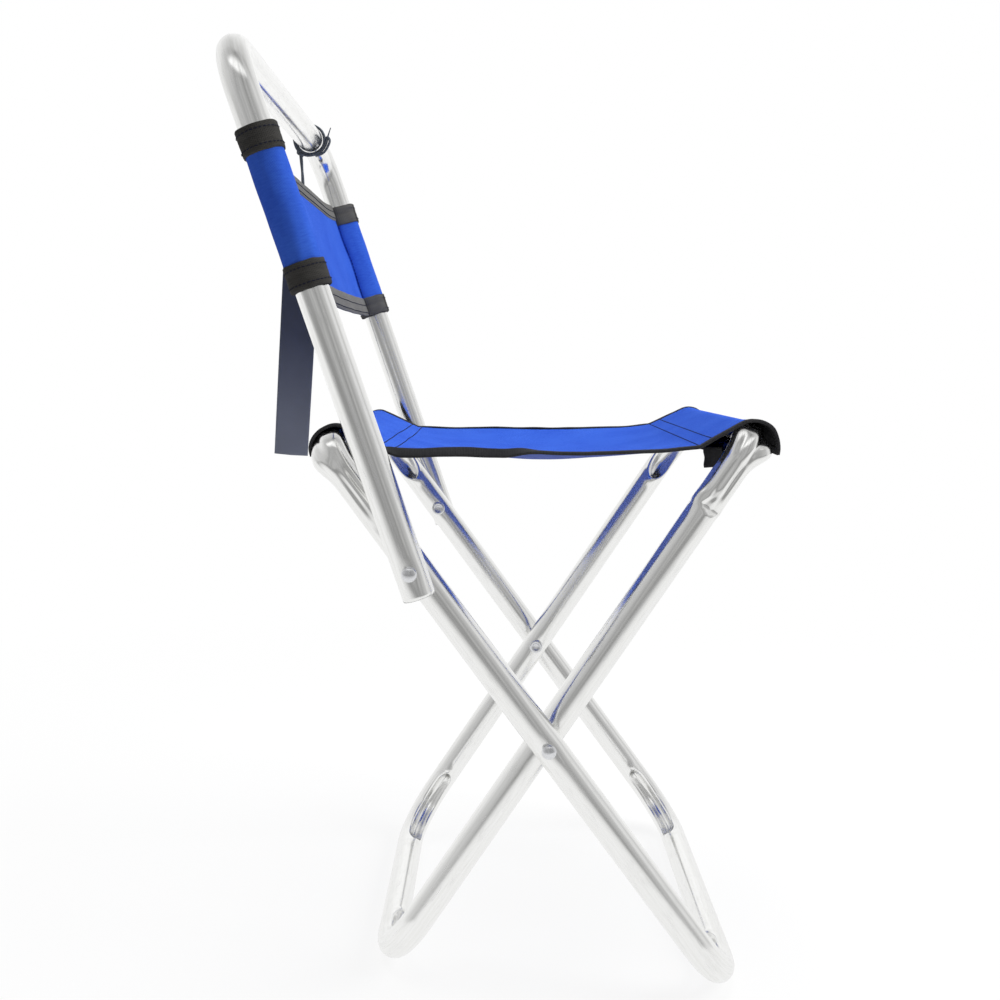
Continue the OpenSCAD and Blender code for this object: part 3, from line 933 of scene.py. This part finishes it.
def edge_tape(side, f, hang, rise, fall):
    """The binding folded over one of the seat's edges: a flat closed band all along the profile.
    Along the open seat it stands on edge by hang degrees, between rise and fall (mm of y)."""
    fine, s = smooth_path([seat_point(f, yz) for yz in seat_profile(f)], 2.0 * MM)
    width = SEAT_TAPE
    shape = flat_outline(width, 2.5 * MM, 20, 0.45, 0.7)
    rings, run = [], []
    for k, (p, t) in enumerate(zip(fine, tangents(fine))):
        out = f * EX
        out = unit(out - t * np.dot(out, t))
        nrm = np.cross(out, t) * f
        turn = 0.0
        if nrm[2] >= 0.2:
            y = p[1] / MM
            turn = math.radians(hang * float(ease(*rise, y) * (1 - ease(*fall, y))))
        wide = out * math.cos(turn) - nrm * math.sin(turn)
        high = nrm * math.cos(turn) + out * math.sin(turn)
        if turn:
            centre = (p - out * width * 0.5 * math.cos(turn)
                      + wide * width * 0.5 * math.sin(turn) ** 2)
        else:
            centre = p - out * width * 0.5 + wide * width * 0.04
        wave = 0.35 * MM * wander(s[k] * 60, f * 5, 1.7)
        pinch = 1 + 0.1 * wander(s[k] * 45, f * 7, 9.1)
        rings.append(centre + nrm * wave + shape[:, :1] * wide * pinch + shape[:, 1:] * high)
        run.append([(w, s[k], 0) for w, _ in shape])
    return one_grid(f"seat_edge_binding_{side}", TAPE, rings, run, caps=True)


# The loose flap's outline: (share of its width, side of its thickness)
FLAP_OUTLINE = ((0, -1), (0.5, -1.1), (1, -1), (1, 1), (0.5, 0.9), (0, 1))


def pocket_binding(name, front):
    """Tape folded over the cut-away ends of the lower layer, with its loose flap, on both sides."""
    batch = Batch()
    width = 5.5 * MM
    shape = flat_outline(width, 2.2 * MM, 16, 0.5, 0.7)
    bar = FRONT_BAR if front else REAR_BAR
    seam = SEAM_Y[0 if front else 1]
    inner = 1 if front else -1  # the seat lies on this side of the bar
    flap_off, drop, wide = [v * MM for v in ((27.5, 15, 13) if front else (31, 7, 10))]
    for sign in (-1, 1):
        ends, outs = [], []
        for f in sign * np.linspace(0.985, 0.6, 40):
            stations = pocket(f, front)
            ends.append(seat_point(f, stations[0]))
            outs.append(unit(ends[-1] - seat_point(f, stations[3])))
        ends = np.array(ends)
        rings, run = [], []
        for p, t, out, s in zip(ends, tangents(ends), outs, lengths_along(ends)):
            out = unit(out - t * np.dot(out, t))
            rings.append(p - out * width * 0.42 + shape[:, :1] * out
                         + shape[:, 1:] * np.cross(t, out))
            run.append([(w, s, 0) for w, _ in shape])
        batch.grid(rings, run, caps=True)
        # the flap: the spare end of the tape, hanging below the seam
        x = sign * 0.78 * seat_half(bar[1])
        y = bar[1] + inner * flap_off
        z = seat_height(x, seam) - 2 * MM
        flap, run = [], []
        for q in np.linspace(0, 1, 9):
            curl = 1.2 * MM * math.sin(q * 2.4 + sign)
            sway = 0.4 * MM * math.sin(9 * q)
            flap.append([(x + t * 0.9 * MM + curl, y - inner * wide * (w + 0.12 * q) + sway,
                          z - drop * q + 1.2 * MM * w * q) for w, t in FLAP_OUTLINE])
            run.append([(w * wide, q * drop, 0) for w, _ in FLAP_OUTLINE])
        batch.grid(flap, run, caps=True)
    return batch.build(name, TAPE)


def upper_height(profile, y):
    """Highest crossing of the profile at that y."""
    best = -1.0
    for a, b in zip(profile[:-1], profile[1:]):
        if (a[0] - y) * (b[0] - y) <= 0 and abs(a[0] - b[0]) > 1e-9:
            best = max(best, a[1] + (b[1] - a[1]) * (y - a[0]) / (b[0] - a[0]))
    return best


SEWN_Y = (FRONT_BAR[1] + 26 * MM, FRONT_BAR[1] + 35 * MM,
          REAR_BAR[1] - 33 * MM, REAR_BAR[1] - 42 * MM)


def seat_stitches():
    """Two rows of sewing beside each bar, right across the seat's top layer."""
    batch = Batch()
    profiles = [(f, seat_profile(f)) for f in np.linspace(-0.94, 0.94, 80)]
    for y in SEWN_Y:
        row = [(f * seat_half(y), y, upper_height(profile, y) + CLOTH_T / 2)
               for f, profile in profiles]
        stitches(batch, row, [(0, 0, 1)] * len(row))
    return batch.build("seat_sewing", THREAD)


def seat_blend(obj, slot, *nodes):
    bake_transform(obj)
    if nodes:
        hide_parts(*nodes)


seat, seat_width, seat_length, seat_area = seat_cloth()
front_binding = pocket_binding("seat_front_pocket_binding", True)
rear_binding = pocket_binding("seat_rear_pocket_binding", False)
left_tape = edge_tape("left", -1, 58, (-30, -2), (66, 84))
right_tape = edge_tape("right", 1, 34, (-70, 0), (50, 84))
seat_sewing = seat_stitches()
seat_blend(seat, "cloth", "seat_panel", "seat_front_sleeve", "seat_rear_sleeve")
seat_blend(left_tape, "binding", "seat_edge_tape_left")
seat_blend(right_tape, "binding", "seat_edge_tape_right")
seat_blend(seat_sewing, "cloth")
seat_blend(front_binding, "binding", "seat_front_sleeve_tapes")
seat_blend(rear_binding, "binding", "seat_rear_sleeve_tapes")


# -------- the back panel
BAND_W = 17 * MM
SLEEVE_HALF = 35 * MM
SLEEVE_MID = float(np.dot(sum(corner("back_sleeve_left")) / 2 - PIVOT, BACK_UP))
PANEL_LOW = SLEEVE_MID - SLEEVE_HALF - BAND_W
PANEL_HIGH = SLEEVE_MID + SLEEVE_HALF + BAND_W
TOP_WEB_W, LOW_WEB_W = 15 * MM, 17 * MM
SLEEVE_R = TUBE_R + 0.3 * MM + CLOTH_T
SEAM_IN = 16 * MM  # the side seams lie this far inside the tubes' middles
SEAM_LIFT = 1.5 * MM
WRAP_SIDES = 72


def back_point(x, h, front=0.0):
    """A point at height h up the back, and front towards the sitter."""
    return PIVOT * np.array([0, 1, 1]) + EX * x + BACK_UP * h + BACK_N * front


def panel_surface(x, h):
    """The cloth leaves the tubes a little behind their middles and bellies slightly to the
    rear. Its free edges pull in between the tubes, and lie higher at the far side."""
    f = x / BACK_X
    bow = -5.4 * MM - 1.2 * MM * (1 - f * f) + 0.5 * MM * wander(x * 30, h * 30, 4.2)
    end = max(0.0, abs(f) - 0.72) / 0.28
    bow += 0.5 * MM * end * math.sin(h / (7.5 * MM) + 5 * x)
    share = (h - (PANEL_LOW + PANEL_HIGH) / 2) / ((PANEL_HIGH - PANEL_LOW) / 2)
    if share > 0:
        sag = -1.2 * MM * (1 - f * f) + 4.5 * MM * ease(0.6, 1.0, f)
    else:
        sag = -2.4 * MM * (1 - f * f) + 1.0 * MM * ease(0.3, 1.0, f)
    return back_point(x, h + share * share * sag, bow)


def back_panel():
    half = BACK_X - SEAM_IN + 2 * MM
    xs = np.linspace(-half, half, 90)
    hs = np.linspace(PANEL_LOW + 3 * MM, PANEL_HIGH - 3 * MM, 34)
    obj = thicken(one_grid("back_cloth", CLOTH, [[panel_surface(x, h) for x in xs] for h in hs],
                           [[(x, h, 0) for x in xs] for h in hs], wrap_cols=False))
    return on_body(obj, "back", "cloth", "back_panel"), 2 * half, float(hs[-1] - hs[0])


class TubeWrap:
    """Rings of cloth round one back tube, for a sleeve or a band."""

    def __init__(self, sign):
        self.sign = sign
        self.rings, self.run = [], []

    def point(self, a, r, h):
        return back_point(self.sign * BACK_X + r * math.cos(a), h, r * math.sin(a))

    def lobe(self, a):
        """How far the cloth stands off towards the panel, where it's sewn to itself."""
        toward = max(0.0, -0.93 * self.sign * math.cos(a) - 0.37 * math.sin(a))
        return 3.6 * MM * toward ** 9 + 0.9 * MM * max(0.0, -self.sign * math.cos(a)) ** 2

    def ring(self, h, place):
        """A ring at height h; place gives each angle's radius and slip in height."""
        places = [(a, *place(a)) for a in ring_angles(WRAP_SIDES)]
        self.rings.append([self.point(a, r, h + slip) for a, r, slip in places])
        self.run.append([(a * SLEEVE_R, h, 0) for a, _, _ in places])


def back_sleeve(side, sign):
    """Cloth wrapped round one back tube and sewn to itself on the panel's side."""
    wrap = TubeWrap(sign)
    reach = SLEEVE_HALF + 8 * MM
    hs = np.linspace(SLEEVE_MID - reach, SLEEVE_MID + reach, 48)
    for h in hs:
        def outside(a):
            fold = wander(math.cos(a) * 2, math.sin(a) * 2, h * 45 + sign * 9)
            return SLEEVE_R + 0.25 * MM + 0.35 * MM * fold + wrap.lobe(a), 0.0
        wrap.ring(h, outside)
    for h in hs[::-1]:
        wrap.ring(h, lambda a: (SLEEVE_R - CLOTH_T * 0.6, 0.0))
    sleeve = one_grid(f"back_sleeve_cloth_{side}", CLOTH, wrap.rings, wrap.run, wrap_rows=True)
    on_body(sleeve, "back", "cloth", f"back_sleeve_{side}")


# A band's outline: (share of its height, fatness in shares of 1.1 mm)
BAND_OUTLINE = ((0.0, 0.2), (0.02, 0.8), (0.1, 1.05), (0.3, 0.95), (0.52, 1.0), (0.56, 0.78),
                (0.6, 1.0), (0.85, 0.98), (0.96, 1.08), (1.0, 0.75), (1.0, 0.2))


def back_bands(side, sign):
    """A turn of black tape round each end of the sleeve, with its folded edge and sewing."""
    batch, thread = Batch(), Batch()
    for low, seed in ((PANEL_LOW, 3.0), (PANEL_HIGH - BAND_W, 8.0)):
        wrap = TubeWrap(sign)
        for share, fat in BAND_OUTLINE:
            h = low + BAND_W * share

            def outside(a):
                c, s = math.cos(a), math.sin(a)
                bump = 0.28 * MM * wander(c * 2.5, s * 2.5, h * 120 + seed)
                slip = 0.7 * MM * wander(c * 1.5, s * 1.5, seed)
                return SLEEVE_R + 0.3 * MM + (1.1 * MM + bump) * fat + wrap.lobe(a), slip
            wrap.ring(h, outside)
        for h in (low + BAND_W, low):
            wrap.ring(h, lambda a: (TUBE_R + 0.25 * MM, 0.0))
        batch.grid(wrap.rings, wrap.run, wrap_rows=True)
        angles = np.linspace(0, 2 * np.pi, 60)
        out = [EX * math.cos(a) + BACK_N * math.sin(a) for a in angles]
        for share in (0.2, 0.78):
            h = low + BAND_W * share
            stitches(thread, [wrap.point(a, SLEEVE_R + 1.5 * MM, h) for a in angles], out)
    obj = on_body(batch.build(f"back_band_{side}", BAND), "back", "binding",
                  f"back_sleeve_bands_{side}")
    obj.data.materials.append(BAND_LIT_COPY)
    for face in obj.data.polygons:
        # towards the panel the band is given a paler copy of its own colour: painted light on these
        # faces
        if -sign * face.normal.x > 0.35 and abs(face.normal.z) < 0.6:
            face.material_index = 1
    on_body(thread.build(f"back_band_sewing_{side}", THREAD), "back", "binding")


def webbing(name, h, width, node):
    """A flat woven band along a free edge of the panel, folded over it, with two sewn lines."""
    half = BACK_X - SEAM_IN + 1 * MM
    thick = 2.3 * MM
    shape = flat_outline(width, thick, 22, 0.35, 0.6)
    middle = [(x, panel_surface(x, h)) for x in np.linspace(-half, half, 150)]
    rings, run = [], []
    for x, p in middle:
        rings.append([p + BACK_UP * w + BACK_N * (t + 0.35 * MM * math.cos(math.pi * w / width))
                      for w, t in shape])
        run.append([(x, w, 0) for w, _ in shape])
    band = on_body(one_grid(name, WEBBING, rings, run, caps=True), "back", "webbing", node)
    rows = Batch()
    for w in (-width * 0.36, width * 0.05):
        for face in (1, -1):
            off = BACK_UP * w + BACK_N * (face * thick / 2 + 0.3 * MM)
            stitches(rows, [p + off for _, p in middle], [BACK_N * face] * len(middle),
                     pitch=3.4 * MM)
    return band, on_body(rows.build(name + "_sewing", THREAD), "back", "webbing")


panel, panel_w, panel_h = back_panel()
webs = (webbing("webbing_top", PANEL_HIGH - TOP_WEB_W / 2, TOP_WEB_W, "back_top_webbing")
        + webbing("webbing_bottom", PANEL_LOW + LOW_WEB_W / 2, LOW_WEB_W, "back_bottom_webbing"))
batch = Batch()
for side, sign in SIDES:
    back_sleeve(side, sign)
    back_bands(side, sign)
    seam_line = [panel_surface(sign * (BACK_X - SEAM_IN), h)
                 for h in np.linspace(PANEL_LOW + 2 * MM, PANEL_HIGH - 2 * MM, 60)]
    for face in (1, -1):
        stitches(batch, [p + BACK_N * face * SEAM_LIFT for p in seam_line], [BACK_N * face] * 60)
side_seams = on_body(batch.build("back_side_seams", THREAD), "back", "cloth")


# -------- floor, light and world
def make_floor():
    n = Nodes("pale_floor")
    n.finish(Base_Color=(0.92, 0.92, 0.92, 1), Roughness=0.9, Specular_IOR_Level=0.1)
    path = n.add("ShaderNodeLightPath").outputs
    camera = path["Is Camera Ray"]
    shiny = n.math("MAXIMUM", path["Is Glossy Ray"], path["Is Transmission Ray"])
    place = n.coordinates("Object")
    # shiny tube sees the sweep turn dim towards the room behind the camera
    ahead = n.part(place, "X")
    dim = n.plus(n.span(ahead, -1.5, -0.45, 0.3, 0.91), n.span(ahead, 0.3, 2.0, 0.0, 0.09))
    glow = n.add("ShaderNodeEmission",
                 {"Color": (1, 1, 1, 1), "Strength": n.math("MAXIMUM", dim, camera)})
    # plain white away from the chair, with the shadow kept under it
    reach = n.add("ShaderNodeVectorMath", {0: place}, operation="LENGTH").outputs["Value"]
    white = n.times(camera, n.span(reach, 0.35, 1.1, 0.88, 1.0))
    mix = n.add("ShaderNodeMixShader", {0: n.math("MAXIMUM", white, shiny),
                                        1: n.shader.outputs[0], 2: glow.outputs[0]})
    n.set(n.tree.nodes["Material Output"].inputs["Surface"], mix.outputs[0])
    size, drop = 8.0, -0.2 * MM
    corners = [(-size, -size), (size, -size), (size, size), (-size, size)]
    piece("floor", [(x, y, drop) for x, y in corners], [(0, 1, 2, 3)], n.material)


def area_lamp(name, place, aim, power, size):
    data = bpy.data.lights.new(name, "AREA")
    data.energy = power
    data.size = size
    obj = in_scene(name, data)
    obj.location = place
    obj.visible_glossy = False
    obj.rotation_euler = (Vector(aim) - Vector(place)).to_track_quat("-Z", "Y").to_euler()


# What the shiny tubes see: (share of the way from behind the camera to the far wall, brightness)
FRONT_WALL = [(0.05, 0.4), (0.1, 0.29), (0.17, 0.5), (0.22, 0.35), (0.3, 0.5), (0.37, 0.55),
              (0.43, 0.78), (0.5, 0.74), (0.56, 0.6), (0.66, 0.84), (0.8, 0.88), (0.97, 1.0)]
REAR_WALL = [(0.03, 0.52), (0.06, 0.36), (0.1, 0.5), (0.14, 0.35), (0.2, 0.46), (0.26, 0.54),
             (0.33, 0.57), (0.42, 0.62), (0.52, 0.7), (0.64, 0.84), (0.8, 0.88), (0.97, 1.0)]
BEHIND_CAMERA = 0.45


def make_world():
    """White to the camera, a plain soft light for everything matt, and a studio for the shiny tube:
    a dim room behind the camera that turns to white walls at both sides."""
    world = bpy.data.worlds.new("studio")
    bpy.context.scene.world = world
    world.use_nodes = True
    world.node_tree.nodes.clear()
    n = Tree(world.node_tree)
    path = n.add("ShaderNodeLightPath").outputs
    toward = n.add("ShaderNodeSeparateXYZ", {0: n.coordinates("Generated")}).outputs
    angle = n.math("ARCTAN2", toward["Y"], n.times(toward["X"], -1.0))
    round_room = n.plus(n.math("DIVIDE", angle, 2 * math.pi), 0.5)
    ramp = n.add("ShaderNodeValToRGB", {"Fac": round_room})
    ramp.color_ramp.interpolation = "EASE"
    stops = [(0.5 - q / 2, v) for q, v in reversed(FRONT_WALL)] + [(0.5, BEHIND_CAMERA)]
    stops += [(0.5 + q / 2, v) for q, v in REAR_WALL]
    marks = ramp.color_ramp.elements
    while len(marks) < len(stops):
        marks.new(0.5)
    for mark, (place, v) in zip(marks, stops):
        mark.position = place
        mark.color = (v, v, v, 1)
    overhead = n.span(toward["Z"], 0.5, 0.95, 1.0, 0.68)
    # a lamp high behind the camera, seen only in surfaces that tilt up towards it
    lamp = n.times(n.span(toward["Z"], 0.7, 0.78, 0.0, 1.7), n.span(toward["X"], -0.2, -0.4))

    def light(colour, strength):
        return n.add("ShaderNodeBackground", {"Color": colour, "Strength": strength}).outputs[0]

    def choose(fac, no, yes):
        return n.add("ShaderNodeMixShader", {0: fac, 1: no, 2: yes}).outputs[0]

    shine = light(ramp.outputs["Color"], n.plus(overhead, lamp))
    unseen = choose(path["Is Glossy Ray"], light((1, 1, 1, 1), 0.2), shine)
    seen = n.math("MAXIMUM", path["Is Camera Ray"], path["Is Transmission Ray"])
    n.add("ShaderNodeOutputWorld", {"Surface": choose(seen, unseen, light((1, 1, 1, 1), 1.0))})


make_floor()
make_world()
area_lamp("key", (-0.25, -2.1, 1.75), (0, 0, 0.45), 54, 1.5)
area_lamp("top", (0.1, 0.1, 2.5), (0, 0, 0.4), 46, 1.6)
bpy.context.scene.view_settings.view_transform = "Standard"
